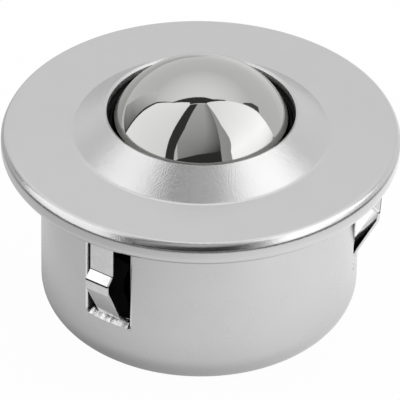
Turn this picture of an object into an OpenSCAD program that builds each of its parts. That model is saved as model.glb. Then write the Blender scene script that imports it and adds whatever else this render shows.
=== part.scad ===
// Ball transfer unit: a large steel ball that rolls in any direction on a bed of small balls.
// It drops into a round hole in a panel and is held there by three spring clips.
// Millimetres. The base stands on z = 0, and the load ball's vertical diameter is the Z axis.

/* [Flange and body] */
// How far the flange stands out from the body
flange_w = 4.5; // [4:0.1:7]
// Depth of the body below the flange
body_depth = 20.1; // [18:0.1:22]
// Outside radius of the body's bottom corner
base_corner_r = 3.8; // [2.5:0.1:4.5]
// Sheet thickness of the body
casing_t = 1.2; // [1:0.05:1.4]
// Bend radius between the body's wall and its flange, on the outside
shoulder_r = 0.6; // [0.3:0.05:0.8]

/* [Top cover] */
// Sheet thickness of the cover
cover_t = 0.9; // [0.7:0.05:1]
// Gap between the clips' legs and the inner edge of the cover's folded hem
hem_gap = 0.75; // [0.4:0.05:0.85]
// Gap between the load ball and the opening's edge
lip_gap = 1.1; // [1:0.05:1.4]
// Width of the flat land around the opening
lip_land = 0.3; // [0.2:0.05:0.5]
// Width of the raised cone, from the land to the cone's foot
cone_w = 3.6; // [3.2:0.1:4]
// Height of the cone above the flange
cone_rise = 2.7; // [2.4:0.05:3]
// Bend radius at the cone's foot
cone_bend_r = 0.8; // [0.5:0.1:1.5]
// Radius on the opening's upper edge
lip_edge_r = 0.15; // [0.1:0.01:0.2]

/* [Balls] */
// Diameter of the load ball
load_ball_d = 22.2; // [20:0.1:25]
// Height of the load ball's top above the flange
ball_rise = 8.1; // [7:0.1:8.5]
// Diameter of a support ball
support_ball_d = 3; // [2.6:0.05:3.4]
// Running play between the balls, and between the balls and their cup
ball_play = 0.05; // [0.03:0.01:0.08]
// Smallest gap between neighbours in a row of support balls
row_gap = 0.06; // [0.03:0.01:0.1]
// Least gap between one row of support balls and the next
step_gap = 0.12; // [0.08:0.01:0.13]

/* [Ball cup] */
// Wall thickness of the hardened cup
cup_t = 1; // [0.8:0.05:1.2]
// Room between the cup and the body's wall, where the clips' anchor plates sit
cup_room = 1.6; // [1.5:0.05:2.5]
// Thickness of the cup's rim flange
cup_flange_t = 0.7; // [0.5:0.05:0.8]
// Clearance between the cup's rim flange and the body
cup_flange_gap = 0.2; // [0.1:0.05:0.3]
// Height of the ledge that carries the ball retainer, above the load ball's centre
ledge_rise = 0.75; // [0.7:0.05:0.85]
// Gap between the top row of support balls and the retainer
ledge_gap = 0.1; // [0.05:0.01:0.12]
// Width of that ledge
ledge_w = 0.4; // [0.3:0.05:0.5]
// Gap between the cup and its seat in the body's floor
cup_seat_gap = 0.05; // [0.03:0.01:0.1]
// How far the dished seat laps up around the cup
seat_lap = 0.55; // [0.4:0.05:0.8]
// Radius at which the floor turns up to the seat
seat_foot_r = 8.6; // [8.4:0.1:9.4]
// Slope of the floor where it rises to the seat
seat_slope = 50; // [46:1:56]

/* [Retainer and wiper] */
// Gap between the load ball and the ball retainer
retainer_gap = 0.3; // [0.2:0.05:0.4]
// Gap between the load ball and the felt wiper
wiper_gap = 0.1; // [0.05:0.05:0.2]
// Height of the felt wiper
wiper_h = 2; // [1.6:0.1:2.2]
// Clearance of the retainer and the wiper in their seats
ring_gap = 0.05; // [0.03:0.01:0.1]

/* [Spring clips] */
// Direction of the first clip, counter-clockwise from the +X axis
clip_azimuth = 235.4; // [225:0.1:245]
// Width of a clip's strip
clip_w = 3; // [2.6:0.1:3.4]
// Thickness of a clip's strip
clip_t = 0.35; // [0.3:0.01:0.4]
// How far the clip's leg stands out from the body
leg_stand = 1.55; // [1.4:0.05:1.65]
// Depth of the leg's first fold below the flange
fold_drop = 5.2; // [4.9:0.1:5.5]
// Straight run between the first and the second fold
kick_run = 1.1; // [0.9:0.05:1.2]
// Straight run of the clip's nose
nose_run = 1; // [0.8:0.05:1.1]
// How far the tail's end lies inside the body's outer face
tail_inset = 0.2; // [0.1:0.05:0.3]
// Bend radius of the strip's sharp folds, at mid thickness
fold_r = 0.3; // [0.25:0.01:0.4]
// Bend radius of the strip's hook and nose, at mid thickness
hook_r = 0.6; // [0.5:0.05:0.7]
// Angle of the fold from the leg to the nose
kick_angle = 45; // [42:1:48]
// Angle that the nose leans back from the vertical
nose_lean = 4; // [0:1:6]
// Angle of the tail from the vertical
tail_angle = 30; // [28:1:32]
// Width of the clip's anchor plate inside the body
anchor_w = 7.2; // [6.8:0.1:7.5]
// Height of the anchor plate's straight part
anchor_h = 1.6; // [1.2:0.1:1.8]
// Clearance between the clip's hook and the body's flange above it
hook_gap = 0.15; // [0.1:0.05:0.25]
// Gap between the anchor plate's edges and the body's inner wall
anchor_gap = 0.06; // [0.03:0.01:0.1]

/* [Clip windows] */
// Width of a window
window_w = 5.85; // [5.5:0.05:6.2]
// Room between the clip's tail and the window's lower edge
tail_room = 0.5; // [0.3:0.05:1]
// Width of the relief at a window's lower corner
relief_w = 0.3; // [0.2:0.05:0.4]
// Depth of that relief
relief_h = 0.5; // [0.3:0.05:0.7]

/* [Hidden] */
CLIPS = 3;
LOWER_ROWS = 4;

CIRCLE_FN = 128;
BALL_FN = 48;
BEND_STEPS = 8;
CUT = 1;

plated = [0.78, 0.78, 0.79];
hardened = [0.30, 0.31, 0.33];
polished = [0.86, 0.87, 0.89];

// The levels of the rim: cover, body flange and cover again, one on the other.
rim_h = casing_t + 2 * cover_t;
under_z = body_depth;
ledge_z = under_z + cover_t;
flange_z = under_z + rim_h;
cover_under_z = flange_z - cover_t;

// The balls, and the cup that they run in.
load_r = load_ball_d / 2;
ball_z = flange_z + ball_rise - load_r;
support_r = support_ball_d / 2;
orbit_r = load_r + ball_play + support_r;
race_r = orbit_r + support_r + ball_play;
cup_outer_r = race_r + cup_t;
retainer_z = ball_z + ledge_rise;
retainer_inner_r = load_r + retainer_gap;
retainer_outer_r = race_r + ledge_w - ring_gap;

// The body goes round the cup, and the rim round the body and the clips' legs.
wall_inner_r = cup_outer_r + cup_room;
body_r = wall_inner_r + casing_t;
fold_centre_r = body_r + flange_w - rim_h / 2;
fold_centre_z = flange_z - rim_h / 2;
hem_inner_r = body_r + leg_stand + hem_gap;

// The cone and its lip, which clears the load ball at the lip's height.
lip_z = flange_z + cone_rise;
opening_r = sqrt(pow(load_r, 2) - pow(lip_z - ball_z, 2)) + lip_gap;
land_r = opening_r + lip_land;
cone_foot_r = land_r + cone_w;
cone_slope = atan2(cone_rise, cone_w);

// Rows of support balls, spread from the single ball at the cup's bottom up to the retainer.
least_step = 2 * asin((support_ball_d + step_gap) / (2 * orbit_r));
top_angle = acos((support_r + ledge_gap - ledge_rise) / orbit_r);
rows = floor(top_angle / least_step);
row_step = top_angle / rows;

// The dished seat in the body's floor.
seat_r = cup_outer_r + cup_seat_gap;
crest_z = ball_z - seat_r + seat_lap;
seat_run = (crest_z - casing_t) / tan(seat_slope);

// The clip's strip, walked along its middle from the anchor plate's lower end.
anchor_x = sqrt(pow(wall_inner_r - anchor_gap, 2) - pow(anchor_w / 2, 2)) - clip_t / 2;
leg_x = body_r + leg_stand - clip_t / 2;
hook_z = ledge_z - hook_gap - clip_t / 2;
anchor_end = [anchor_x, hook_z - hook_r - anchor_h];
leg_run = hook_z - hook_r - (under_z - fold_drop);
tail_end_x = body_r - tail_inset - clip_t / 2;

// One stretch of strip is a straight run and then a bend: [run, turn, bend radius].
function left_of(heading) = [-sin(heading), cos(heading)];
function ahead_of(heading) = [cos(heading), sin(heading)];
function after_run(state, run) = [state[0] + run * ahead_of(state[1]), state[1]];
function turned(state, turn, r) =
    let (side = sign(turn), centre = state[0] + side * r * left_of(state[1]))
    [centre - side * r * left_of(state[1] + turn), state[1] + turn];
function bend_states(state, turn, r) =
    [for (k = [1:BEND_STEPS]) turned(state, turn * k / BEND_STEPS, r)];
function stretch(state, move) =
    let (start = after_run(state, move[0]))
    move[1] == 0 ? [start] : concat([start], bend_states(start, move[1], move[2]));
function walk(state, moves, i = 0) =
    i == len(moves) ? [] :
    let (part = stretch(state, moves[i]))
    concat(part, walk(part[len(part) - 1], moves, i + 1));
function side_points(states, offset) = [for (s = states) s[0] + offset * left_of(s[1])];

anchor_start = [anchor_end, 90];
anchor_moves = [[anchor_h, 0, 0]];
nose_moves = [
    [anchor_h, -90, hook_r],
    [leg_x - anchor_x - 2 * hook_r, -90, hook_r],
    [leg_run, kick_angle, fold_r],
    [kick_run, -kick_angle - nose_lean, fold_r],
    [nose_run, nose_lean - tail_angle, hook_r]];
nose_states = walk(anchor_start, nose_moves);
nose_end = nose_states[len(nose_states) - 1];
tail_run = (nose_end[0][0] - tail_end_x) / sin(tail_angle);
tail_end = after_run(nose_end, tail_run);
strip_states = concat([anchor_start], nose_states, [tail_end]);
plate_states = concat([anchor_start], walk(anchor_start, anchor_moves));

function reversed(points) = [for (k = [len(points) - 1:-1:0]) points[k]];
function strip_outline(states) =
    concat(side_points(states, clip_t / 2), reversed(side_points(states, -clip_t / 2)));

function row_radius(row) = orbit_r * sin(row * row_step);
function row_count(row) = floor(180 / asin((support_r + row_gap / 2) / row_radius(row)));

// Half section of a cup: a filled rectangle from the axis, with its lower outer corner rounded.
module cup_fill(r, low, high, corner_r) {
    translate([0, low + corner_r]) square([r, high - low - corner_r]);
    translate([0, low]) square([r - corner_r, 2 * corner_r]);
    translate([r - corner_r, low + corner_r]) circle(corner_r, $fn = CIRCLE_FN);
}

// Half section under the floor's raised seat: inset is 0 on its upper face.
module seat_fill(inset) {
    foot = seat_foot_r - inset * tan(seat_slope / 2);
    difference() {
        polygon([[0, -CUT], [foot, -CUT], [foot, casing_t - inset],
            [foot - seat_run, crest_z - inset], [0, crest_z - inset]]);
        translate([0, ball_z]) circle(seat_r + inset, $fn = CIRCLE_FN);
    }
}

// Half section of the body's flange, with the bend that joins it to the wall.
module casing_flange_section() {
    bend_x = body_r + shoulder_r;
    bend_z = ledge_z - shoulder_r;
    difference() {
        translate([wall_inner_r, bend_z])
            square([fold_centre_r - wall_inner_r, casing_t + shoulder_r]);
        translate([bend_x, bend_z - CUT]) square([fold_centre_r, shoulder_r + CUT]);
        translate([bend_x, bend_z]) circle(shoulder_r, $fn = CIRCLE_FN);
        difference() {
            translate([wall_inner_r - CUT, bend_z])
                square([shoulder_r + casing_t + CUT, shoulder_r + casing_t + CUT]);
            translate([bend_x, bend_z]) circle(shoulder_r + casing_t, $fn = CIRCLE_FN);
        }
    }
}

module casing_section() {
    bend_z = ledge_z - shoulder_r;
    difference() {
        cup_fill(body_r, 0, bend_z, base_corner_r);
        difference() {
            cup_fill(wall_inner_r, casing_t, bend_z + CUT, base_corner_r - casing_t);
            seat_fill(0);
        }
        seat_fill(casing_t);
    }
    casing_flange_section();
}

// One window: the opening for the clip, and a small relief at each lower corner.
module window_cut() {
    low_z = tail_end[0][1] - tail_room;
    depth = casing_t + shoulder_r + 2 * CUT;
    translate([wall_inner_r - CUT, -window_w / 2, low_z])
        cube([depth, window_w, ledge_z - low_z]);
    for (side = [-1, 1])
        translate([wall_inner_r - CUT, side * (window_w - relief_w) / 2 - relief_w / 2,
            low_z - relief_h])
            cube([depth, relief_w, relief_h + CUT]);
}

// The pressed body: cup, dished floor, three windows and the flange that the cover folds around.
module casing() {
    color(plated) difference() {
        rotate_extrude($fn = CIRCLE_FN) casing_section();
        for (k = [0:CLIPS - 1])
            rotate([0, 0, clip_azimuth + k * 360 / CLIPS]) window_cut();
    }
}

// Half section under one face of the cover: inset is 0 on its upper face.
module cover_fill(inset) {
    foot = cone_foot_r - inset * tan(cone_slope / 2);
    level = flange_z - inset;
    run = cone_foot_r;
    bend_r = cone_bend_r + inset;
    tangent = bend_r * tan(cone_slope / 2);
    slope_point = [foot - tangent * cos(cone_slope), level + tangent * sin(cone_slope)];
    polygon([[0, under_z - CUT], [fold_centre_r, under_z - CUT], [fold_centre_r, level],
        [foot, level], [foot - run, level + run * tan(cone_slope)], [0, level]]);
    difference() {
        polygon([[foot + tangent, level - CUT], [foot + tangent, level], slope_point,
            [slope_point[0], level - CUT]]);
        translate([foot + tangent, level + bend_r]) circle(bend_r, $fn = CIRCLE_FN);
    }
}

// The rim: the sheet turned round the body's flange and folded flat beneath it.
module hem_section() {
    difference() {
        translate([fold_centre_r, fold_centre_z]) circle(rim_h / 2, $fn = CIRCLE_FN);
        translate([fold_centre_r, fold_centre_z]) circle(casing_t / 2, $fn = CIRCLE_FN);
        translate([fold_centre_r - rim_h, under_z - CUT]) square([rim_h, rim_h + 2 * CUT]);
    }
    translate([hem_inner_r, under_z]) square([fold_centre_r - hem_inner_r, cover_t]);
}

module cover_section() {
    edge = lip_edge_r;
    difference() {
        cover_fill(0);
        cover_fill(cover_t);
        translate([0, lip_z]) square([fold_centre_r, 2 * cone_foot_r]);
        translate([0, under_z - 2 * CUT]) square([opening_r, lip_z]);
        difference() {
            translate([opening_r - CUT, lip_z - edge]) square([edge + CUT, edge + CUT]);
            translate([opening_r + edge, lip_z - edge]) circle(edge, $fn = CIRCLE_FN);
        }
    }
    hem_section();
}

// The cover: flat ring, raised cone with its lip, and the rolled rim, pressed from one sheet.
module top_cover() {
    color(plated) rotate_extrude($fn = CIRCLE_FN) cover_section();
}

// The hardened cup: half a sphere that the support balls run in, with a rim under the cover.
module ball_cup() {
    color(hardened) rotate_extrude($fn = CIRCLE_FN) difference() {
        union() {
            intersection() {
                translate([0, ball_z]) circle(cup_outer_r, $fn = CIRCLE_FN);
                translate([0, ball_z - 2 * cup_outer_r]) square([2 * cup_outer_r, 2 * cup_outer_r]);
            }
            translate([0, ball_z - CUT]) square([cup_outer_r - CUT / 2, CUT]);
            translate([0, ball_z]) square([cup_outer_r, cover_under_z - ball_z]);
            translate([0, cover_under_z - cup_flange_t])
                square([wall_inner_r - cup_flange_gap, cup_flange_t]);
        }
        translate([0, ball_z]) circle(race_r, $fn = CIRCLE_FN);
        translate([0, ball_z]) square([race_r, cover_under_z - ball_z + CUT]);
        translate([0, retainer_z]) square([race_r + ledge_w, cover_under_z - ball_z]);
    }
}

// The ring that keeps the support balls in the cup.
module ball_retainer() {
    color("goldenrod") translate([0, 0, retainer_z]) difference() {
        cylinder(r = retainer_outer_r, h = cover_under_z - retainer_z, $fn = CIRCLE_FN);
        translate([0, 0, -CUT])
            cylinder(r = retainer_inner_r, h = cover_under_z - retainer_z + 2 * CUT, $fn = CIRCLE_FN);
    }
}

// The felt ring that wipes the load ball, packed under the cone on top of the retainer.
module wiper_ring() {
    top_z = cover_under_z + wiper_h;
    color([0.08, 0.08, 0.09]) rotate_extrude($fn = CIRCLE_FN) difference() {
        intersection() {
            cover_fill(cover_t + ring_gap);
            translate([0, cover_under_z])
                square([retainer_outer_r - ledge_w, top_z - cover_under_z]);
        }
        translate([0, ball_z]) circle(load_r + wiper_gap, $fn = CIRCLE_FN);
    }
}

module load_ball() {
    color(polished) translate([0, 0, ball_z]) sphere(load_r, $fn = CIRCLE_FN);
}

// Row 0 is the single ball at the cup's bottom, and each row above it is a ring.
module support_row(row) {
    count = row == 0 ? 1 : row_count(row);
    color(polished) translate([0, 0, ball_z]) for (k = [0:count - 1])
        rotate([0, 0, k * 360 / count]) rotate([0, -row * row_step, 0])
            translate([0, 0, -orbit_r]) sphere(support_r, $fn = BALL_FN);
}

// The rows that the retainer keeps in: all those above the lower ones.
module support_rows_upper() {
    for (row = [LOWER_ROWS + 1:rows]) support_row(row);
}

// A spring clip: a wide anchor plate inside the wall, and a strip that hooks out of the window.
module clip(index) {
    color(plated) rotate([0, 0, clip_azimuth + index * 360 / CLIPS]) rotate([90, 0, 0]) {
        translate([0, 0, -clip_w / 2]) linear_extrude(clip_w) polygon(strip_outline(strip_states));
        translate([0, 0, -anchor_w / 2]) linear_extrude(anchor_w) polygon(strip_outline(plate_states));
    }
}

casing();
top_cover();
ball_cup();
ball_retainer();
wiper_ring();
load_ball();
support_row(0);  // support_ball_bottom
support_row(1);  // support_row_1
support_row(2);  // support_row_2
support_row(3);  // support_row_3
support_row(4);  // support_row_4
support_rows_upper();
clip(0);  // clip_1
clip(1);  // clip_2
clip(2);  // clip_3
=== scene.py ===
"""Looks of a ball transfer unit: plated pressings, a polished ball and spring clips, in a small studio."""

import logging
import math
from dataclasses import dataclass
from enum import Enum
from typing import Callable, Iterable, Sequence

import bmesh
import bpy
from bmesh.types import BMesh, BMVert
from bpy.types import Material, Node, NodeSocket, NodeTree, Object
from mathutils import Matrix, Vector, noise


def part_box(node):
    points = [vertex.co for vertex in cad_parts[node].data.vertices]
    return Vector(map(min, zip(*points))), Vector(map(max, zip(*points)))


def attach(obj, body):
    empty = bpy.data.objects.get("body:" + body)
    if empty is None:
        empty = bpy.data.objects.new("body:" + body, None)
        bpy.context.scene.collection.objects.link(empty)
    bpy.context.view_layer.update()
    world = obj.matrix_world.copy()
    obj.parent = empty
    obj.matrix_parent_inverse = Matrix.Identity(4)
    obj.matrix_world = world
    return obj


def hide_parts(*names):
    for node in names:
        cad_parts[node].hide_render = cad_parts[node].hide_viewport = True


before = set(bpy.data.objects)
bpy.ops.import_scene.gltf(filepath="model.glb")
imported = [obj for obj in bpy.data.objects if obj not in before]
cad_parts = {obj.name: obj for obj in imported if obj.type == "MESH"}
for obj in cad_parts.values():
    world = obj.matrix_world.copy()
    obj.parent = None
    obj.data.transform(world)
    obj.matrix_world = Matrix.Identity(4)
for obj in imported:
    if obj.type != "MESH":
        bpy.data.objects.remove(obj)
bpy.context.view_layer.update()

MM = 0.001
UM = 1e-6
# Millimetres within which two radii or columns count as the same
CLOSE = 0.01
# The spread of a noise texture's levels
NOISE_LOW, NOISE_HIGH = 0.3, 0.7
# How far drawing lines run along the pull, as scales on the three axes
DRAWN_OUT = (1.0, 1.0, 0.03)

log = logging.getLogger("ball_transfer_unit")

Point = tuple[float, float]
Sockets = dict[str | int, object]
Column = dict[str, list[BMVert]]
Levels = tuple[float, float, float, float]


# ---- helpers


def linear(hex_colour: str) -> tuple[float, float, float, float]:
    """Turns an sRGB hex colour into linear RGBA.

    Args:
        hex_colour: Six hex digits after a hash, such as "#C6C7C8".

    Returns:
        Linear red, green and blue, and an alpha of 1.
    """
    parts = [int(hex_colour[k:k + 2], 16) / 255 for k in (1, 3, 5)]
    levels = [p / 12.92 if p <= 0.04045 else ((p + 0.055) / 1.055) ** 2.4 for p in parts]
    return (*levels, 1.0)


WHITE = linear("#FFFFFF")


def per_metre(size_mm: float) -> float:
    """Gives the texture scale whose features are size_mm across on object coordinates in metres."""
    return 1 / (size_mm * MM)


def add_node(tree: NodeTree, kind: str, sockets: Sockets | None = None, **settings: object) -> Node:
    """Adds a shader node, sets its properties, and fills or links its inputs.

    Args:
        tree: The node tree to add to.
        kind: The node's type name, without its leading "ShaderNode".
        sockets: Input names or numbers, each with a value, the output to link, or a node to link the
            first output of.
        **settings: The node's properties and their values.

    Returns:
        The new node.
    """
    node = tree.nodes.new(f"ShaderNode{kind}")
    for name, value in settings.items():
        setattr(node, name, value)
    for key, value in (sockets or {}).items():
        if isinstance(value, Node):
            value = value.outputs[0]
        if isinstance(value, NodeSocket):
            tree.links.new(value, node.inputs[key])
        else:
            node.inputs[key].default_value = value
    return node


def material_of(name: str, add_shader: Callable[[NodeTree], Node]) -> Material:
    """Builds a material, or gives it again if it is there.

    Args:
        name: The finish's name.
        add_shader: Adds the finish's nodes to a tree and gives the shader that shows.

    Returns:
        The material.
    """
    material = bpy.data.materials.get(name)
    if not material:
        material = bpy.data.materials.new(name)
        material.use_nodes = True
        tree = material.node_tree
        tree.nodes.clear()
        add_node(tree, "OutputMaterial", {"Surface": add_shader(tree)})
    return material


def turned(r: float, z: float, angle: float) -> tuple[float, float, float]:
    """Gives the place in metres of a point at a radius, a height and an angle."""
    return r * MM * math.cos(angle), r * MM * math.sin(angle), z * MM


def middles(lines: Sequence[float]) -> list[float]:
    """Gives the middle between each line and the next."""
    return [(one + two) / 2 for one, two in zip(lines, lines[1:])]


def arc(centre: Point, radius: float, start: float, end: float, steps: int) -> list[Point]:
    """Gives points along an arc.

    Args:
        centre: The arc's centre.
        radius: Its radius.
        start: The first point's angle in degrees, counter-clockwise from the first axis.
        end: The last point's angle in degrees.
        steps: How many equal steps the arc takes.

    Returns:
        steps + 1 points, both ends among them.
    """
    angles = [math.radians(start + (end - start) * k / steps) for k in range(steps + 1)]
    return [(centre[0] + radius * math.cos(a), centre[1] + radius * math.sin(a)) for a in angles]


@dataclass(frozen=True)
class Corner:
    """One corner of a sheet's section, in millimetres, and the radius it is rounded to."""

    r: float
    z: float
    rounding: float = 0.0


def rounded(corners: Sequence[Corner], step_deg: float = 7.0) -> list[Point]:
    """Rounds the corners of a closed section.

    Args:
        corners: The section's corners in order.
        step_deg: The turn from one point of a rounding to the next.

    Returns:
        The closed outline's points, without repeating the first.
    """
    points: list[Point] = []
    for k, corner in enumerate(corners):
        here = Vector((corner.r, corner.z))
        before, after = corners[k - 1], corners[(k + 1) % len(corners)]
        back = (Vector((before.r, before.z)) - here).normalized()
        ahead = (Vector((after.r, after.z)) - here).normalized()
        turn = math.pi - back.angle(ahead)
        if corner.rounding == 0 or turn < 1e-4:
            points.append((corner.r, corner.z))
            continue
        reach = corner.rounding * math.tan(turn / 2)
        centre = here + (back + ahead).normalized() * corner.rounding / math.cos(turn / 2)
        first = here + back * reach - centre
        last = here + ahead * reach - centre
        steps = max(2, math.ceil(math.degrees(turn) / step_deg))
        for step in range(steps + 1):
            share = step / steps
            arm = (first * math.sin((1 - share) * turn) + last * math.sin(share * turn)) / math.sin(turn)
            points.append(tuple(centre + arm))
    return points


def finish_mesh(draft: BMesh, name: str, sharp_deg: float = 40.0) -> Object:
    """Turns a draft mesh into an object with smooth faces and sharp creases.

    Args:
        draft: The draft, in metres. It is freed.
        name: The piece's name.
        sharp_deg: The angle between faces above which an edge stays sharp.

    Returns:
        The new object, linked to the scene.
    """
    bmesh.ops.remove_doubles(draft, verts=draft.verts, dist=1e-7)
    bmesh.ops.recalc_face_normals(draft, faces=draft.faces)
    mesh = bpy.data.meshes.new(name)
    draft.to_mesh(mesh)
    draft.free()
    mesh.shade_smooth()
    mesh.set_sharp_from_angle(angle=math.radians(sharp_deg))
    piece = bpy.data.objects.new(name, mesh)
    bpy.context.scene.collection.objects.link(piece)
    return piece


def lathe(name: str, outline: Sequence[Point], segments: int) -> Object:
    """Turns a closed section into a ring.

    Args:
        name: The piece's name.
        outline: The section's points, radius and height in millimetres.
        segments: How many segments the ring has.

    Returns:
        The ring.
    """
    draft = bmesh.new()
    columns = []
    for k in range(segments):
        angle = 2 * math.pi * k / segments
        columns.append([draft.verts.new(turned(r, z, angle)) for r, z in outline])
    for k, column in enumerate(columns):
        beside = columns[(k + 1) % segments]
        for i in range(len(outline)):
            j = (i + 1) % len(outline)
            draft.faces.new((column[i], beside[i], beside[j], column[j]))
    return finish_mesh(draft, name)


# ---- finishes


class Slot(Enum):
    """The record's material slots."""

    PLATED = "plated_steel"
    SPRING = "spring_steel"
    BALL = "ball_steel"


@dataclass(frozen=True)
class MetalFinish:
    """A bare or plated metal: its colour, its polish and the marks of how it was made."""

    name: str
    colour: str
    cloud_colour: str
    roughness: float
    cloud_mm: float
    grain_mm: float
    grain_height_um: float
    streak_mm: float = 0.0
    streak_height_um: float = 0.0
    roughness_swing: float = 0.04
    metallic: float = 1.0

    def shader(self, tree: NodeTree) -> Node:
        """Adds the finish's nodes.

        Args:
            tree: The material's node tree.

        Returns:
            The shader that shows.
        """
        place = add_node(tree, "TexCoord").outputs["Object"]
        cloud = add_node(tree, "TexNoise", {
            "Vector": place, "Scale": per_metre(self.cloud_mm), "Detail": 3.0, "Roughness": 0.55})
        colour = add_node(tree, "Mix", {
            "Factor": cloud, "A": linear(self.colour), "B": linear(self.cloud_colour)}, data_type="RGBA")
        polish = add_node(tree, "MapRange", {
            "Value": cloud, "From Min": NOISE_LOW, "From Max": NOISE_HIGH,
            "To Min": self.roughness - self.roughness_swing / 2,
            "To Max": self.roughness + self.roughness_swing / 2})
        return add_node(tree, "BsdfPrincipled", {
            "Base Color": colour.outputs["Result"], "Metallic": self.metallic,
            "Roughness": polish, "Normal": self._relief(tree, place)})

    def _relief(self, tree: NodeTree, place: NodeSocket) -> Node:
        """Adds the nodes of the surface's fine relief.

        Args:
            tree: The material's node tree.
            place: The object coordinates, in metres.

        Returns:
            The node that gives the normal to shade with.
        """
        grain = add_node(tree, "TexNoise", {
            "Vector": place, "Scale": per_metre(self.grain_mm), "Detail": 2.0, "Roughness": 0.6})
        bump = add_node(tree, "Bump", {
            "Strength": 1.0, "Distance": self.grain_height_um * UM, "Height": grain})
        if not self.streak_mm:
            return bump
        stretched = add_node(tree, "Mapping", {"Vector": place, "Scale": DRAWN_OUT})
        streak = add_node(tree, "TexNoise", {
            "Vector": stretched, "Scale": per_metre(self.streak_mm), "Detail": 2.0})
        return add_node(tree, "Bump", {
            "Strength": 1.0, "Distance": self.streak_height_um * UM, "Height": streak, "Normal": bump})


@dataclass(frozen=True)
class FeltFinish:
    """Pressed wool felt: matt, with fibres that lie every way."""

    name: str = "pressed_wool_felt"
    colour: str = "#0B0B0C"
    fibre_colour: str = "#1A1A1B"
    fibre_mm: float = 0.12
    fibre_height_mm: float = 0.06

    def shader(self, tree: NodeTree) -> Node:
        """Adds the felt's nodes.

        Args:
            tree: The material's node tree.

        Returns:
            The shader that shows.
        """
        place = add_node(tree, "TexCoord").outputs["Object"]
        fibres = add_node(tree, "TexNoise", {
            "Vector": place, "Scale": per_metre(self.fibre_mm), "Detail": 4.0, "Distortion": 1.5})
        colour = add_node(tree, "Mix", {
            "Factor": fibres, "A": linear(self.colour), "B": linear(self.fibre_colour)}, data_type="RGBA")
        bump = add_node(tree, "Bump", {
            "Strength": 1.0, "Distance": self.fibre_height_mm * MM, "Height": fibres})
        return add_node(tree, "BsdfPrincipled", {
            "Base Color": colour.outputs["Result"], "Roughness": 0.95, "Sheen Weight": 0.1, "Normal": bump})


# Bright zinc on drawn mild steel, barrel plated: an even satin grey that still mirrors the lamps.
PLATED_SHEET = MetalFinish(
    "zinc_plated_drawn_steel", "#C8C8C8", "#C4C4C4", roughness=0.15,
    cloud_mm=5.0, grain_mm=0.12, grain_height_um=14.0)
# The cone is stretched as it is drawn, so the steel's grain stands out in it and scatters the reflections.
# The grain is drawn about twice as coarse as it is, so that it shows.
STRETCHED_CONE = MetalFinish(
    "zinc_plated_stretched_steel", "#C8C8C8", "#C4C4C4", roughness=0.2,
    cloud_mm=5.0, grain_mm=0.15, grain_height_um=27.0)
# The same plating on the drawn body: the die leaves faint upright lines that soften reflections.
PLATED_BODY = MetalFinish(
    "zinc_plated_deep_drawn_steel", "#C8C8C8", "#C2C2C2", roughness=0.27,
    cloud_mm=6.0, grain_mm=0.2, grain_height_um=3.0, streak_mm=0.6, streak_height_um=4.0)
# Plated over a sheared edge, at the windows and the cover's opening: torn grains a few tenths of a
# millimetre across catch the light.
SHEARED_EDGE = MetalFinish(
    "zinc_plated_sheared_steel", "#F2F2F2", "#C8C8C8", roughness=0.4,
    cloud_mm=0.5, grain_mm=0.35, grain_height_um=40.0, roughness_swing=0.1)
# Deep inside the cup the plating hardly throws; the body's inside is painted a dull near black as painted
# shade, so it gives back little light.
INSIDE_SHADE_PAINT = MetalFinish(
    "painted_shade_inside", "#1C1C1D", "#121213", roughness=0.6,
    cloud_mm=3.0, grain_mm=0.3, grain_height_um=3.0, metallic=0.0)
# Where the punch rolled the edge over, the plating is painted brighter: a painted highlight along a window's
# rolled sides.
EDGE_HIGHLIGHT_PAINT = MetalFinish(
    "painted_edge_highlight", "#EEEEEE", "#E6E6E6", roughness=0.2,
    cloud_mm=1.0, grain_mm=0.2, grain_height_um=1.0)
# Cold-rolled spring strip, plated: smoother than the body, with fine lines along the strip.
SPRING_STRIP = MetalFinish(
    "zinc_plated_spring_strip", "#E4E4E4", "#CACACA", roughness=0.14,
    cloud_mm=0.8, grain_mm=0.2, grain_height_um=3.0, streak_mm=0.3, streak_height_um=1.6)
# At the sharp folds a dark line is painted across the strip: painted shade in the bends.
FOLD_SHADE_PAINT = MetalFinish(
    "painted_fold_shade", "#2C2C2D", "#1E1E1F", roughness=0.45,
    cloud_mm=0.5, grain_mm=0.1, grain_height_um=2.0)
# Through-hardened chrome steel, lapped: a dark, clean mirror with the faintest haze.
BALL_STEEL = MetalFinish(
    "lapped_chrome_steel", "#B5B5B3", "#B1B1AF", roughness=0.04,
    cloud_mm=4.0, grain_mm=0.4, grain_height_um=0.12, roughness_swing=0.02)
# Case-hardened pressing with its black heat scale on, darkened further as painted shade: nearly black inside
# the body.
SCALED_CUP_AND_SHADE = MetalFinish(
    "black_scale_and_painted_shade", "#0A0A0B", "#060607", roughness=0.55,
    cloud_mm=3.0, grain_mm=0.3, grain_height_um=6.0)
# Plain turned ring, zinc plated and passivated: pale, with a soft polish.
RETAINER_RING = MetalFinish(
    "passivated_steel_ring", "#A8A69C", "#9C9A90", roughness=0.3,
    cloud_mm=2.0, grain_mm=0.2, grain_height_um=1.5)
WOOL_FELT = FeltFinish()
# The CAD pieces that are dressed as they are, by how their names start
# The cup's finish is its black scale darkened further as painted shade.
BED_FINISHES = {
    "ball_cup": SCALED_CUP_AND_SHADE, "ball_retainer": RETAINER_RING, "wiper_ring": WOOL_FELT,
    "support": BALL_STEEL}
COVER_FINISHES = [PLATED_SHEET, STRETCHED_CONE, SHEARED_EDGE]
BODY_FINISHES = [PLATED_BODY, SHEARED_EDGE, INSIDE_SHADE_PAINT, EDGE_HIGHLIGHT_PAINT]


def dress(piece: Object, finishes: Iterable[MetalFinish | FeltFinish]) -> None:
    """Gives a piece its finishes, one for each material slot.

    Args:
        piece: The piece, a new one or a CAD node's own object.
        finishes: The finishes in the order of the slots.
    """
    slots = piece.data.materials
    for number, finish in enumerate(finishes):
        material = material_of(finish.name, finish.shader)
        if number < len(slots):
            slots[number] = material
        else:
            slots.append(material)


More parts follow.
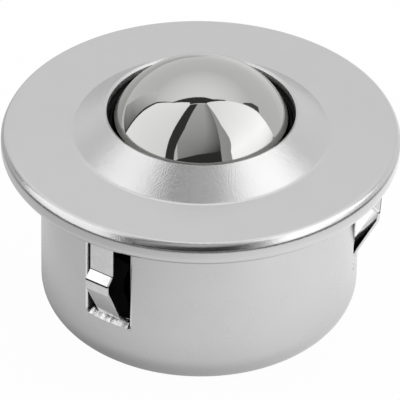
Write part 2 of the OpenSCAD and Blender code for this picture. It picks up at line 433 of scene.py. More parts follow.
def settle(piece: Object, body: str, nodes: Sequence[str]) -> None:
    """Makes a piece ride on its body and stand for its CAD nodes.

    Args:
        piece: The new piece.
        body: The CAD body it moves with.
        nodes: The CAD nodes it replaces.
    """
    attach(piece, body)
    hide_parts(*nodes)
    log.info("%s rides on %s", piece.name, body)


# ---- the housing


@dataclass
class Rim:
    """The levels and radii that the cover and the body share, in millimetres."""

    sheet: float = 1.2
    cover_sheet: float = 0.9
    body_r: float = 18.0
    shoulder_r: float = 0.6

    def __post_init__(self) -> None:
        """Takes the outer radius and the levels from the frame."""
        low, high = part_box("top_cover")
        self.outer_r = high.x / MM
        self.under_z = low.z / MM
        self.height = self.sheet + 2 * self.cover_sheet
        self.top_z = self.under_z + self.height
        self.lip_z = high.z / MM
        self.ledge_z = self.under_z + self.cover_sheet
        self.fold_r = self.outer_r - self.height / 2
        self.fold_z = self.top_z - self.height / 2


@dataclass
class TopCover:
    """The pressed cover: flat ring, raised cone with its lip, and the rolled rim."""

    rim: Rim
    opening_r: float = 10.625
    land: float = 0.3
    cone_foot_r: float = 14.525
    bevel_drop: float = 0.17
    foot_bend: float = 0.8
    hem_inner_r: float = 20.3
    edge_rounding: float = 0.06
    land_rounding: float = 0.05
    burr_rounding: float = 0.04
    hem_rounding: float = 0.2
    shoulder_deg: float = 30.0
    shoulder_run: float = 0.92
    shoulder_bend: float = 0.7
    side_bend: float = 1.0
    low_bend: float = 1.3
    segments: int = 360

    def section(self) -> list[Point]:
        """Gives the sheet's closed section, up the outside from the opening.

        Returns:
            The outline's points.
        """
        rim = self.rim
        land_r = self.opening_r + self.land
        slope = math.atan2(rim.lip_z - rim.top_z, self.cone_foot_r - land_r)
        inner_top = rim.top_z - rim.cover_sheet
        inner_foot = self.cone_foot_r - rim.cover_sheet * math.tan(slope / 2)
        inner_lip_z = inner_top + (inner_foot - self.opening_r) * math.tan(slope)
        upper = [
            Corner(self.opening_r, inner_lip_z, self.burr_rounding),
            Corner(self.opening_r, rim.lip_z - self.bevel_drop, self.edge_rounding),
            Corner(land_r, rim.lip_z, self.land_rounding),
            Corner(self.cone_foot_r, rim.top_z, self.foot_bend)]
        lean = math.radians(self.shoulder_deg)
        roll = [
            Corner(rim.outer_r - self.shoulder_run * math.sin(lean), rim.top_z, self.shoulder_bend),
            Corner(rim.outer_r, rim.top_z - self.shoulder_run * math.cos(lean), self.side_bend),
            Corner(rim.outer_r, rim.under_z, self.low_bend)]
        hem = [
            Corner(self.hem_inner_r, rim.under_z, self.hem_rounding),
            Corner(self.hem_inner_r, rim.ledge_z, self.hem_rounding / 2),
            Corner(rim.fold_r, rim.ledge_z)]
        inner = [Corner(r, z) for r, z in arc((rim.fold_r, rim.fold_z), rim.sheet / 2, -90, 90, 12)[1:-1]]
        under = [
            Corner(rim.fold_r, inner_top),
            Corner(inner_foot, inner_top, self.foot_bend + rim.cover_sheet)]
        return rounded([*upper, *roll, *hem, *inner, *under], step_deg=5.0)

    def build(self) -> None:
        """Builds and dresses the cover."""
        cover = lathe("cover_pressing", self.section(), self.segments)
        dress(cover, COVER_FINISHES)
        for face in cover.data.polygons:
            radius = math.hypot(face.center.x, face.center.y) / MM
            if radius < self.opening_r + CLOSE:
                face.material_index = COVER_FINISHES.index(SHEARED_EDGE)
            elif radius < self.cone_foot_r:
                face.material_index = COVER_FINISHES.index(STRETCHED_CONE)
        settle(cover, "housing", ["top_cover"])


@dataclass
class PressedBody:
    """The drawn body: cup, dished floor, flange, and three windows with sheared edges.

    Its columns go once round the wall and hold their vertices by stretch: low, outer, high, over, inner
    and floor. The distance from a window's middle line is infinite where no window is near.
    """

    rim: Rim
    corner_r: float = 3.8
    seat_foot_r: float = 8.6
    seat_slope_deg: float = 50.0
    seat_r: float = 15.25
    seat_lap: float = 0.55
    ball_z: float = 20.1
    first_window_deg: float = 235.4
    windows: int = 3
    window_w: float = 5.85
    window_low_z: float = 7.5
    relief_w: float = 0.3
    relief_h: float = 0.5
    roll_over: float = 0.22
    lip_drop: float = 0.45
    lip_depth: float = 0.6
    tear: float = 0.13
    tear_size: float = 0.4
    tear_seed: float = 3.7
    tear_fade: float = 0.2
    cut_tear_share: float = 0.8
    wall_rows: int = 44
    least_row: float = 0.06
    bend_rows: int = 6
    cut_rows: int = 6
    dish_rows: int = 8
    corner_rows: int = 14
    inner_corner_rows: int = 10
    window_columns: int = 40
    edge_steps: tuple[float, ...] = (0.0, 0.12, 0.3, 0.55, 1.0)
    beside_window: tuple[float, float] = (0.4, 0.8)
    columns_between: int = 66

    def __post_init__(self) -> None:
        """Lays out the wall's rows and the columns round a window, and the cells between them."""
        self.wall_r = self.rim.body_r - self.rim.sheet
        self.levels = self._wall_levels()
        self.across = self._window_columns()
        self.heights = middles(self.levels) + [self.rim.ledge_z] * self.bend_rows
        self.sides = middles(self.across)
        self.opened = self._open_cells()

    def _floor(self, inset: float) -> list[Point]:
        """Gives the dished floor's section from the axis outwards.

        Args:
            inset: How far the face lies under the floor's upper face.

        Returns:
            Points from the axis to the foot of the slope.
        """
        t = self.rim.sheet
        crest = self.ball_z - self.seat_r + self.seat_lap
        run = (crest - t) / math.tan(math.radians(self.seat_slope_deg))
        foot = self.seat_foot_r - inset * math.tan(math.radians(self.seat_slope_deg / 2))
        radius = self.seat_r + inset
        edge_r = math.sqrt(radius ** 2 - (self.ball_z - crest + inset) ** 2)
        across = [edge_r * k / self.dish_rows for k in range(self.dish_rows + 1)]
        dish = [(r, self.ball_z - math.sqrt(radius ** 2 - r ** 2)) for r in across]
        return [*dish, (foot - run, crest - inset), (foot, t - inset)]

    def _wall_levels(self) -> list[float]:
        """Gives the heights of the wall's rows, closer together at the window's lower edge."""
        low = self.window_low_z
        steps = [self.lip_drop * s for s in self.edge_steps]
        notch = [low - self.relief_h - self.roll_over * s for s in self.edge_steps]
        start, end = self.corner_r, self.rim.ledge_z - self.rim.shoulder_r
        plain = [start + (end - start) * k / self.wall_rows for k in range(self.wall_rows + 1)]
        exact = sorted({round(z, 4) for z in [*notch, *[low - s for s in steps]]})
        spaced = [z for z in plain if all(abs(z - e) > self.least_row for e in exact)]
        return sorted([*spaced, *exact])

    def _window_columns(self) -> list[float]:
        """Gives the columns' distances from a window's middle line, across it and its rolled edges."""
        half, count = self.window_w / 2, self.window_columns
        lip_w = self.window_w - 2 * self.relief_w
        inside = [-half + self.relief_w + lip_w * k / count for k in range(count + 1)]
        outside = [half + self.roll_over * s for s in self.edge_steps]
        outside += [half + y for y in self.beside_window]
        return sorted([*[-y for y in outside], *inside, *outside])

    def _angles(self, radius: float) -> list[float]:
        """Gives every column's angle at one radius.

        Args:
            radius: The radius at which the windows' sides are parallel.

        Returns:
            Angles in radians, once round the wall.
        """
        step = 2 * math.pi / self.windows
        across = [math.asin(y / radius) for y in self.across]
        angles = []
        for k in range(self.windows):
            middle = math.radians(self.first_window_deg) + k * step
            angles += [middle + a for a in across]
            gap, count = step - across[-1] + across[0], self.columns_between
            angles += [middle + across[-1] + gap * j / count for j in range(1, count)]
        return angles

    def _sink(self, y: float, z: float) -> float:
        """Gives how deep the wall's face is rolled in near a window's edge.

        Args:
            y: Distance from the window's middle line.
            z: Height.

        Returns:
            The depth in millimetres, 0 away from the edge.
        """
        half, low = self.window_w / 2, self.window_low_z
        if abs(y) < half - self.relief_w + CLOSE:
            return self.lip_depth * max(0.0, 1 - max(low - z, 0) / self.lip_drop)
        reach = self.roll_over
        distance = math.hypot(max(abs(y) - half, 0), max(low - self.relief_h - z, 0))
        return reach - math.sqrt(reach ** 2 - (reach - distance) ** 2) if distance < reach else 0.0

    def _tear(self, x: float, y: float) -> float:
        """Gives the torn lower edge's height above its nominal level, from the place on it."""
        return self.tear * 2 * noise.noise(Vector((x, y, self.tear_seed)) / self.tear_size)

    def build(self) -> None:
        """Builds the body as one closed sheet with its windows open, and dresses it."""
        draft = bmesh.new()
        columns = self._columns(draft)
        self._skin(draft, columns)
        self._cut_faces(draft, columns)
        body = finish_mesh(draft, "body_pressing")
        dress(body, BODY_FINISHES)
        settle(body, "housing", ["casing"])

    def _columns(self, draft: BMesh) -> list[Column]:
        """Adds the sheet's vertices, column by column.

        Args:
            draft: The body's draft mesh.

        Returns:
            The columns.
        """
        rim, rows = self.rim, self.bend_rows
        bend = (rim.body_r + rim.shoulder_r, rim.ledge_z - rim.shoulder_r)
        inner_bend = rim.shoulder_r + rim.sheet
        ledge_deg = 180 - math.degrees(math.asin(rim.shoulder_r / inner_bend))
        corner, inner_corner_r = (rim.body_r - self.corner_r, self.corner_r), self.corner_r - rim.sheet
        outer_wall = [(rim.body_r, z) for z in self.levels] + arc(bend, rim.shoulder_r, 180, 90, rows)[1:]
        inner_wall = [(self.wall_r, z) for z in self.levels] + arc(bend, inner_bend, 180, ledge_deg, rows)[1:]
        plain = {
            "low": self._floor(rim.sheet) + arc(corner, self.corner_r, -90, 0, self.corner_rows)[:-1],
            "high": [(rim.fold_r, rim.ledge_z), (rim.fold_r, rim.top_z - rim.cover_sheet)],
            "over": arc(bend, inner_bend, 90, ledge_deg, rows)[:-1],
            "floor": arc(corner, inner_corner_r, 0, -90, self.inner_corner_rows)[1:] + self._floor(0)[::-1]}
        outer_angles, inner_angles = self._angles(rim.body_r), self._angles(self.wall_r)
        columns = []
        for number, (outside, inside) in enumerate(zip(outer_angles, inner_angles)):
            local = number % (len(outer_angles) // self.windows)
            y = self.across[local] if local < len(self.across) else math.inf
            column: Column = {"outer": []}
            for i, (r, z) in enumerate(outer_wall):
                sink = self._sink(y, z) if i < len(self.levels) else 0.0
                place = turned(r - sink, z + self._lip_lift(y, z, r), outside)
                column["outer"].append(draft.verts.new(place))
            column["inner"] = [
                draft.verts.new(turned(r, z + self._lip_lift(y, z, r), inside)) for r, z in inner_wall]
            for stretch, points in plain.items():
                angle = outside if stretch in ("low", "high") else inside
                column[stretch] = [draft.verts.new(turned(r, z, angle)) for r, z in points]
            columns.append(column)
        return columns

    def _skin(self, draft: BMesh, columns: Sequence[Column]) -> None:
        """Adds the sheet's outer and inner faces, apart from the windows.

        Args:
            draft: The body's draft mesh.
            columns: The body's columns.
        """
        loops = [[*column["low"], *column["outer"], *column["high"], *column["over"],
                  *column["inner"][::-1], *column["floor"]] for column in columns]
        sizes = {stretch: len(verts) for stretch, verts in columns[0].items()}
        first = sizes["low"]
        inside = first + sizes["outer"] + sizes["high"]
        top = inside + sizes["over"] + sizes["inner"] - 2
        for c, here in enumerate(loops):
            beside = loops[(c + 1) % len(loops)]
            local = c % (len(loops) // self.windows)
            y = self.sides[local] if local < len(self.sides) else math.inf
            for i in range(len(here) - 1):
                on_outer, on_inner = i - first, top - i
                if (on_outer, local) in self.opened or (on_inner, local) in self.opened:
                    continue
                face = draft.faces.new((here[i], here[i + 1], beside[i + 1], beside[i]))
                if 0 <= on_outer < len(self.levels) - 1:
                    face.material_index = BODY_FINISHES.index(self._outer_finish(y, self.heights[on_outer]))
                elif i >= inside:
                    # The inner faces are painted dark: painted shade inside the body.
                    face.material_index = BODY_FINISHES.index(INSIDE_SHADE_PAINT)

    def _outer_finish(self, y: float, z: float) -> MetalFinish:
        """Gives the finish of the wall's outer face.

        Args:
            y: Distance from the window's middle line.
            z: Height.

        Returns:
            The sheared finish on the torn lower lip and the painted edge highlight on a window's rolled
            sides.
        """
        half, low = self.window_w / 2, self.window_low_z
        if abs(y) < half - self.relief_w and low - self.lip_drop < z < low:
            return SHEARED_EDGE
        # A window's rolled sides above the lip take the painted edge highlight.
        return EDGE_HIGHLIGHT_PAINT if half < abs(y) < half + self.roll_over and z > low else PLATED_BODY

    def _open_cells(self) -> set[tuple[int, int]]:
        """Finds the wall's cells that a window leaves open.

        Returns:
            Pairs of row and column, numbered within one window.
        """
        half, low = self.window_w / 2, self.window_low_z
        opened = set()
        for i, z in enumerate(self.heights):
            for c, y in enumerate(map(abs, self.sides)):
                in_relief = half - self.relief_w < y < half and z > low - self.relief_h
                if in_relief or (y < half and z > low):
                    opened.add((i, c))
        return opened

    def _lip_lift(self, y: float, z: float, r: float) -> float:
        """Gives how far the torn lower edge moves a vertex of the wall up or down.

        Args:
            y: Distance from the window's middle line.
            z: The vertex's height.
            r: Its radius.

        Returns:
            The lift in millimetres.
        """
        near = 1 - abs(z - self.window_low_z) / self.lip_drop
        inside = self.window_w / 2 - self.relief_w - abs(y)
        if near <= 0 or inside < 0:
            return 0.0
        return self._tear(r, y) * near * min(1.0, inside / self.tear_fade)

    def _cut_faces(self, draft: BMesh, columns: Sequence[Column]) -> None:
        """Adds the sheared faces through the sheet round each window.

        Args:
            draft: The body's draft mesh.
            columns: The body's columns.
        """
        rows, total = len(columns[0]["outer"]), len(columns)
        found: dict[tuple[int, int], list[BMVert]] = {}

        def through(i: int, c: int) -> list[BMVert]:
            """Gives the vertices through the sheet at one row and column."""
            if (i, c) not in found:
                start, end = columns[c]["outer"][i], columns[c]["inner"][i]
                line = [start]
                for k in range(1, self.cut_rows):
                    place = start.co.lerp(end.co, k / self.cut_rows)
                    if abs(place.z / MM - self.window_low_z) < 2 * self.tear:
                        place.z += self._tear(place.x / MM, place.y / MM) * MM * self.cut_tear_share
                    line.append(draft.verts.new(place))
                found[(i, c)] = [*line, end]
            return found[(i, c)]

        for window in range(self.windows):
            for i, local in self.opened:
                c = window * (total // self.windows) + local
                edges = {
                    (i - 1, local): ((i, c), (i, c + 1)),
                    (i + 1, local): ((i + 1, c), (i + 1, c + 1)),
                    (i, local - 1): ((i, c), (i + 1, c)),
                    (i, local + 1): ((i, c + 1), (i + 1, c + 1))}
                for neighbour, (a, b) in edges.items():
                    if neighbour in self.opened:
                        continue
                    one, two = through(a[0], a[1] % total), through(b[0], b[1] % total)
                    finish = SHEARED_EDGE if min(a[0], b[0]) < rows - 1 else PLATED_BODY
                    for k in range(self.cut_rows):
                        face = draft.faces.new((one[k], two[k], two[k + 1], one[k + 1]))
                        face.material_index = BODY_FINISHES.index(finish)


# ---- the balls and what holds them


@dataclass
class LoadBall:
    """The load ball, a true sphere of even squares with no poles."""

    cuts: int = 79

    def build(self) -> None:
        """Builds and dresses the ball."""
        low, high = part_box("load_ball")
        centre = (low + high) / 2
        radius = (high.z - low.z) / 2
        draft = bmesh.new()
        bmesh.ops.create_cube(draft, size=2.0)
        bmesh.ops.subdivide_edges(draft, edges=draft.edges, cuts=self.cuts, use_grid_fill=True)
        for vert in draft.verts:
            even = Vector([math.tan(x * math.pi / 4) for x in vert.co])
            vert.co = centre + even.normalized() * radius
        ball = finish_mesh(draft, "lapped_ball")
        dress(ball, [BALL_STEEL])
        settle(ball, "load_ball", ["load_ball"])


class BallBed:
    """The hardened cup, the support balls, their retainer and the felt."""

    def build(self) -> None:
        """Dresses the CAD pieces."""
        for name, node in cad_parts.items():
            for start, finish in BED_FINISHES.items():
                if name.startswith(start):
                    dress(node, [finish])
                    log.info("%s is dressed as %s", name, finish.name)


# ---- the spring clips


@dataclass(frozen=True)
class Move:
    """One stretch of the clip's strip: a straight run, then a bend, in millimetres and degrees.

    The shade share is the share of the bend, to either side of its middle, that is painted dark as painted
    shade.
    """

    run: float
    turn: float
    radius: float
    shade_share: float = 0.0


@dataclass(frozen=True)
class Station:
    """A cross-section of the strip: its middle's place, its direction, its width, and if it lies in the
    fold's painted shade.
    """

    x: float
    z: float
    heading: float
    width: float
    in_fold_shade: bool = False


@dataclass
class SpringClip:
    """One spring clip, a hairpin of flat strip with an anchor plate inside the body."""

    rim: Rim
    index: int
    azimuth_deg: float
    strip_w: float = 3.0
    strip_t: float = 0.35
    edge_rounding: float = 0.08
    anchor_w: float = 7.2
    anchor_h: float = 1.6
    anchor_gap: float = 0.06
    hook_gap: float = 0.15
    hook_r: float = 0.6
    fold_r: float = 0.3
    leg_stand: float = 1.55
    fold_drop: float = 5.2
    kick_run: float = 1.0
    kick_deg: float = 49.0
    nose_run: float = 0.85
    nose_lean_deg: float = 4.0
    tail_deg: float = 28.0
    tail_inset: float = 0.1
    side_play: float = 0.3
    fold_shade_middle: float = 0.55
    kick_shade_share: float = 0.5
    nose_shade_share: float = 0.26
    bend_step_deg: float = 6.0

    def stations(self) -> list[Station]:
        """Walks along the strip's middle, from the anchor plate's lower end to the tail's end.

        Returns:
            The strip's cross-sections.
        """
        rim = self.rim
        wall_r = rim.body_r - rim.sheet
        anchor_x = math.sqrt((wall_r - self.anchor_gap) ** 2 - (self.anchor_w / 2) ** 2) - self.strip_t / 2
        leg_x = rim.body_r + self.leg_stand - self.strip_t / 2
        hook_z = rim.ledge_z - self.hook_gap - self.strip_t / 2
        moves = [
            Move(self.anchor_h, -90, self.hook_r),
            Move(leg_x - anchor_x - 2 * self.hook_r, -90, self.hook_r),
            Move(hook_z - self.hook_r - (rim.under_z - self.fold_drop), self.kick_deg, self.fold_r,
                 self.kick_shade_share),
            Move(self.kick_run, -self.kick_deg - self.nose_lean_deg, self.fold_r, self.nose_shade_share),
            Move(self.nose_run, self.nose_lean_deg - self.tail_deg, self.hook_r)]
        x, z, heading = anchor_x, hook_z - self.hook_r - self.anchor_h, 90.0
        found = [Station(x, z, heading, self.anchor_w)]
        for number, move in enumerate(moves):
            x += move.run * math.cos(math.radians(heading))
            z += move.run * math.sin(math.radians(heading))
            if number == 0:
                found.append(Station(x, z, heading, self.anchor_w))
            found.append(Station(x, z, heading, self.strip_w))
            side = math.copysign(1, move.turn)
            centre_x = x - side * move.radius * math.sin(math.radians(heading))
            centre_z = z + side * move.radius * math.cos(math.radians(heading))
            steps = max(4, math.ceil(abs(move.turn) / self.bend_step_deg))
            for k in range(1, steps + 1):
                facing = heading + move.turn * k / steps
                x = centre_x + side * move.radius * math.sin(math.radians(facing))
                z = centre_z - side * move.radius * math.cos(math.radians(facing))
                in_fold_shade = abs(k / steps - self.fold_shade_middle) < move.shade_share
                found.append(Station(x, z, facing, self.strip_w, in_fold_shade))
            heading += move.turn
        end_x = rim.body_r - self.tail_inset - self.strip_t / 2
        run = (x - end_x) / math.sin(math.radians(self.tail_deg))
        x += run * math.cos(math.radians(heading))
        z += run * math.sin(math.radians(heading))
        return [*found, Station(x, z, heading, self.strip_w)]

    def _ring(self, width: float) -> list[Point]:
        """Gives the strip's cross-section with its rolled edges.

        Args:
            width: The strip's width there.

        Returns:
            Points across and through the strip.
        """
        half_w, half_t = width / 2, self.strip_t / 2
        sides = ((half_w, -half_t), (half_w, half_t), (-half_w, half_t), (-half_w, -half_t))
        return rounded([Corner(y, depth, self.edge_rounding) for y, depth in sides], step_deg=22.5)

    def build(self) -> None:
        """Builds and dresses the clip."""
        draft = bmesh.new()
        turn = Matrix.Rotation(math.radians(self.azimuth_deg), 4, "Z")
        rings, stations = [], self.stations()
        for station in stations:
            facing = math.radians(station.heading)
            ring = []
            aside = 0.0 if station.width > self.strip_w else self.side_play
            for y, depth in self._ring(station.width):
                x = station.x - depth * math.sin(facing)
                z = station.z + depth * math.cos(facing)
                ring.append(draft.verts.new(turn @ Vector((x, y + aside, z)) * MM))
            rings.append(ring)
        for number, (one, two) in enumerate(zip(rings, rings[1:])):
            # Faces between two stations in a fold take the fold's painted shade.
            material = int(stations[number].in_fold_shade and stations[number + 1].in_fold_shade)
            for k in range(len(one)):
                j = (k + 1) % len(one)
                draft.faces.new((one[k], one[j], two[j], two[k])).material_index = material
        draft.faces.new(rings[0])
        draft.faces.new(rings[-1][::-1])
        name = f"clip_{self.index}"
        clip = finish_mesh(draft, f"{name}_strip")
        dress(clip, [SPRING_STRIP, FOLD_SHADE_PAINT])
        settle(clip, name, [name])


# ---- the studio


@dataclass(frozen=True)
class Ramp:
    """A level that changes from low to high over a stretch."""

    start: float
    end: float
    low: float = 0.0
    high: float = 1.0

    def inputs(self, value: NodeSocket, unit: float = MM) -> Sockets:
        """Gives the inputs of the node that maps a value through the ramp."""
        return {"Value": value, "From Min": self.start * unit, "From Max": self.end * unit,
                "To Min": self.low, "To Max": self.high}


@dataclass(frozen=True)
class Panel:
    """A softbox or a flag round the object, stretched between two edges.

    The edges' points lie in a plane one unit above the object, x to the right and y to the back.
    The levels are those at the first edge's start, the second's start, the first's end and the second's end.
    """

    name: str
    first: tuple[Point, ...]
    second: tuple[Point, ...]
    levels: Levels
    strips: int = 6


BLACK_CLOTH = (0.06,) * 4
DARK_ROOM = (0.05,) * 4
LEFT_BOX_FRONT = ((-0.2, 0.02), (-0.45, -0.28), (-1.0, -0.87), (-1.5, -1.45), (-3.5, -3.8), (-12.5, -14.0))
LEFT_BOX_BACK = ((-0.2, 0.07), (-0.55, 0.17), (-1.0, 0.42), (-1.75, 0.65), (-5.0, 1.5), (-18.5, 5.4))
LEFT_FLAG_END = ((-0.06, 0.03), (-0.38, -0.55), (-0.72, -1.0), (-1.05, -1.5), (-2.7, -4.4), (-10.0, -16.0))
WALL_START = (*LEFT_FLAG_END[:3], (-1.2, -2.2))
WALL_MIDDLE = ((0.03, 0.03), (0.1, -0.52), (0.1, -1.0), (-0.1, -1.66))
WALL_END = ((0.1, 0.03), (0.36, -0.5), (0.58, -1.0), (0.75, -1.42))
STRIP_START = ((0.1, 0.03), (0.36, -0.5), (0.58, -1.0), (0.66, -1.2), (0.75, -1.42), (7.0, -14.0))
RIGHT_BOX_FRONT = ((0.1, 0.03), (0.45, -0.42), (0.8, -0.75), (1.0, -1.0), (1.25, -1.45))
RIGHT_BOX_BACK = ((0.1, 0.06), (0.45, 0.2), (1.0, 0.4), (1.6, 0.58), (2.6, 0.75))
PANELS = (
    Panel("softbox_left", LEFT_BOX_FRONT, LEFT_BOX_BACK, (1.45, 1.6, 1.3, 1.6)),
    Panel("softbox_right", RIGHT_BOX_FRONT, RIGHT_BOX_BACK, (1.5, 1.5, 2.05, 2.1)),
    Panel("softbox_right_foot", ((1.25, -1.45), (11.0, -14.0)), ((2.6, 0.75), (9.0, 2.0)),
          (2.05, 2.1, 1.0, 1.2)),
    Panel("flag_left", LEFT_BOX_FRONT, LEFT_FLAG_END, BLACK_CLOTH),
    Panel("front_wall_left", WALL_START, WALL_MIDDLE, (0.75, 0.75, 0.44, 0.33)),
    Panel("front_wall_right", WALL_MIDDLE, WALL_END, (0.75, 0.4, 0.33, 0.06)),
    Panel("front_strip", STRIP_START, (*RIGHT_BOX_FRONT, (11.0, -14.0)), (0.6, 0.6, 0.6, 0.5)),
    Panel("front_low", ((-1.2, -2.2), (-0.1, -1.66), (0.75, -1.42)),
          ((-18.0, -20.0), (0.0, -27.0), (12.0, -25.0)), DARK_ROOM),
    Panel("flag_top",
          ((-0.5, 0.15), (-0.2, 0.07), (-0.2, 0.03), (-0.06, 0.04), (0.1, 0.04), (0.12, 0.07), (0.45, 0.2)),
          ((-0.55, 0.19), (-0.45, 0.19), (-0.3, 0.19), (-0.1, 0.19), (0.05, 0.185), (0.2, 0.16),
           (0.45, 0.22)), BLACK_CLOTH),
    Panel("seam_left", ((-0.5, 0.15), (-1.0, 0.42), (-1.75, 0.65), (-3.0, 0.98), (-18.5, 5.4)),
          ((-0.55, 0.19), (-1.0, 0.47), (-1.75, 0.76), (-3.0, 1.12), (-18.5, 6.0)), (0.07,) * 4),
    Panel("seam_right", ((0.9, 0.37), (1.3, 0.52), (1.8, 0.66)),
          ((0.9, 0.41), (1.25, 0.68), (1.65, 0.85)), (0.12,) * 4),
    Panel("wall_left", ((-1.0, 0.47), (-1.75, 0.77), (-3.0, 1.13), (-18.5, 6.0)),
          ((-1.0, 0.9), (-2.0, 1.8), (-4.0, 3.6), (-14.0, 13.0)), (0.9, 1.05, 0.05, 0.5)),
    Panel("gap_left", ((-1.2, -2.2), (-10.0, -16.0), (-12.5, -14.0), (-18.5, 5.4), (-18.5, 6.0)),
          ((-18.0, -20.0), (-19.0, -20.0), (-21.0, -19.0), (-28.0, 9.0), (-27.0, 12.0)), DARK_ROOM),
    Panel("gap_right", ((11.0, -14.0), (9.0, 2.0)), ((17.0, -22.0), (28.0, 6.0)), DARK_ROOM))


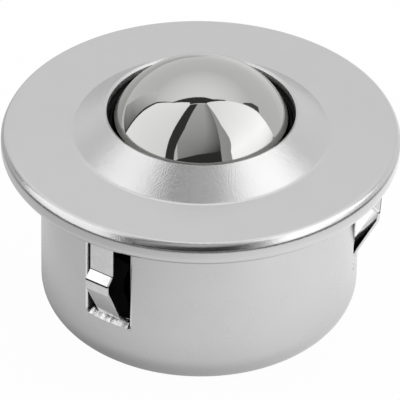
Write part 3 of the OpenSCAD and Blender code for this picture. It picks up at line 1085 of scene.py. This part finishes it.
@dataclass
class Studio:
    """The floor, the light, the flags that give polished metal its dark lines, and the camera.

    In metal the floor's brightness is painted: painted shade at the object's foot and beyond the lamps'
    reach, and painted light rising to the right.
    """

    aim_z: float = 13.34
    camera_height_over: float = 23.1
    elevation_deg: float = 34.82
    distance: float = 686.0
    focal: float = 549.6
    roll_deg: float = 0.8
    view_end_m: float = 20.0
    centre_z: float = 20.0
    panel_distance: float = 900.0
    floor_r: float = 3000.0
    floor_colour: str = "#E6E6E6"
    floor_white_share: float = 0.97
    floor_mirror_share: float = 0.8
    # Ramps of the floor's painted light and shade as metal shows it
    left_to_right: Ramp = Ramp(-35, 30, 0.74, 1.3)
    foot_left_to_right: Ramp = Ramp(-12, 16, 0.36, 0.85)
    near: Ramp = Ramp(16, 27)
    far: Ramp = Ramp(44, 58, 1.0, 0.82)
    end: Ramp = Ramp(76, 92, 1.0)
    end_front_to_back: Ramp = Ramp(20, 70, 0.05, 0.95)
    sky: Ramp = Ramp(0.58, 0.97, 0.95, 1.35)
    panels: tuple[Panel, ...] = PANELS

    def build(self) -> None:
        """Builds the floor, the panels, the world and the camera."""
        self._floor()
        self._world()
        for panel in self.panels:
            self._panel(panel)
        self._camera()
        bpy.context.scene.view_settings.view_transform = "Standard"

    def _floor(self) -> None:
        """Builds the pale floor."""
        draft = bmesh.new()
        bmesh.ops.create_circle(draft, cap_ends=True, segments=64, radius=self.floor_r * MM)
        floor = finish_mesh(draft, "floor")
        floor.data.materials.append(material_of("matt_white_board", self._board))

    def _board(self, tree: NodeTree) -> Node:
        """Adds the floor's nodes: it shows white and keeps a share of the object's shadow.

        Args:
            tree: The floor's node tree.

        Returns:
            The shader that shows.
        """
        board = add_node(tree, "BsdfDiffuse", {"Color": linear(self.floor_colour)})
        rays = add_node(tree, "LightPath")
        mirrored = add_node(tree, "Emission", {"Color": WHITE, "Strength": self._painted_floor_level(tree)})
        in_metal = add_node(tree, "Math", {
            0: rays.outputs["Is Glossy Ray"], 1: self.floor_mirror_share}, operation="MULTIPLY")
        with_metal = add_node(tree, "MixShader", {0: in_metal, 1: board, 2: mirrored})
        white = add_node(tree, "Emission", {"Color": WHITE, "Strength": 1.0})
        in_view = add_node(tree, "Math", {
            0: rays.outputs["Is Camera Ray"], 1: self.floor_white_share}, operation="MULTIPLY")
        return add_node(tree, "MixShader", {0: in_view, 1: with_metal, 2: white})

    def _painted_floor_level(self, tree: NodeTree) -> Node:
        """Adds the nodes of the floor's painted light and shade in metal, from place to place.

        Args:
            tree: The floor's node tree.

        Returns:
            The node that gives the level.
        """
        place = add_node(tree, "TexCoord").outputs["Object"]
        x, y = add_node(tree, "SeparateXYZ", {"Vector": place}).outputs[:2]
        reach = add_node(tree, "VectorMath", {0: place}, operation="LENGTH").outputs["Value"]
        smooth = {"interpolation_type": "SMOOTHSTEP"}
        foot = add_node(tree, "MapRange", self.foot_left_to_right.inputs(x))
        near = add_node(tree, "MapRange", {**self.near.inputs(reach), "To Min": foot}, **smooth)
        behind = add_node(tree, "MapRange", self.end_front_to_back.inputs(y))
        end = add_node(tree, "MapRange", {**self.end.inputs(reach), "To Max": behind}, **smooth)
        far = add_node(tree, "MapRange", self.far.inputs(reach), **smooth)
        side = add_node(tree, "MapRange", self.left_to_right.inputs(x))
        level = near
        for factor in (far, end, side):
            level = add_node(tree, "Math", {0: level, 1: factor}, operation="MULTIPLY")
        return level

    def _world(self) -> None:
        """Builds the even light from all round, white where it is seen."""
        world = bpy.data.worlds.new("light_tent")
        bpy.context.scene.world = world
        world.use_nodes = True
        tree = world.node_tree
        tree.nodes.clear()
        place = add_node(tree, "TexCoord").outputs["Generated"]
        height = add_node(tree, "SeparateXYZ", {"Vector": place}).outputs["Z"]
        sky = add_node(tree, "MapRange", self.sky.inputs(height, unit=1.0))
        lit = add_node(tree, "Background", {"Color": WHITE, "Strength": sky})
        seen = add_node(tree, "Background", {"Color": WHITE, "Strength": 1.0})
        rays = add_node(tree, "LightPath")
        mixed = add_node(tree, "MixShader", {0: rays.outputs["Is Camera Ray"], 1: lit, 2: seen})
        add_node(tree, "OutputWorld", {"Surface": mixed})

    def _place(self, point: Vector) -> Vector:
        """Gives a panel's point at the panels' distance from the object."""
        return (point.normalized() * self.panel_distance + Vector((0, 0, self.centre_z))) * MM

    def _panel(self, panel: Panel) -> None:
        """Builds one softbox or flag, which shows only in reflections.

        Args:
            panel: The panel.
        """
        draft = bmesh.new()
        glow = draft.verts.layers.float.new("glow")
        spans = len(panel.first) - 1
        rows = []
        for step in range(spans * panel.strips + 1):
            span = min(step // panel.strips, spans - 1)
            share = step / panel.strips - span
            start, end = (Vector((*edge[span], 1)).lerp(Vector((*edge[span + 1], 1)), share).normalized()
                          for edge in (panel.first, panel.second))
            down = step / (spans * panel.strips)
            row = []
            for k in range(panel.strips + 1):
                across = k / panel.strips
                vert = draft.verts.new(self._place(start.lerp(end, across)))
                top = panel.levels[0] * (1 - across) + panel.levels[1] * across
                bottom = panel.levels[2] * (1 - across) + panel.levels[3] * across
                vert[glow] = top * (1 - down) + bottom * down
                row.append(vert)
            rows.append(row)
        for one, two in zip(rows, rows[1:]):
            for k in range(panel.strips):
                draft.faces.new((one[k], one[k + 1], two[k + 1], two[k]))
        card = finish_mesh(draft, panel.name)
        card.data.materials.append(material_of("panel_cloth", self._cloth))
        card.visible_camera = False

    def _cloth(self, tree: NodeTree) -> Node:
        """Adds the nodes of the panels' cloth, which glows as much as each panel's points say.

        Args:
            tree: The material's node tree.

        Returns:
            The shader that shows.
        """
        level = add_node(tree, "Attribute", attribute_name="glow").outputs["Fac"]
        return add_node(tree, "Emission", {"Color": WHITE, "Strength": level})

    def _camera(self) -> None:
        """Sets up the camera in front of the object, looking down on it."""
        up = math.radians(self.elevation_deg)
        data = bpy.data.cameras.new("camera")
        camera = bpy.data.objects.new("camera", data)
        bpy.context.scene.collection.objects.link(camera)
        place = Vector((0, -self.distance * math.cos(up),
                        self.camera_height_over + self.distance * math.sin(up))) * MM
        aim = Vector((0, 0, self.aim_z)) * MM
        facing = (place - aim).to_track_quat("Z", "Y").to_matrix().to_4x4()
        roll = Matrix.Rotation(math.radians(self.roll_deg), 4, "Z")
        camera.matrix_world = Matrix.Translation(place) @ facing @ roll
        data.lens = self.focal
        data.clip_end = self.view_end_m
        bpy.context.scene.camera = camera


def main() -> None:
    """Builds the object and its studio in order."""
    logging.basicConfig(level=logging.INFO, format="%(name)s: %(message)s")
    rim = Rim()
    TopCover(rim).build()
    body = PressedBody(rim)
    body.build()
    LoadBall().build()
    BallBed().build()
    for index in range(body.windows):
        SpringClip(rim, index + 1, body.first_window_deg + index * 360 / body.windows).build()
    Studio().build()


if __name__ == "__main__":
    main()
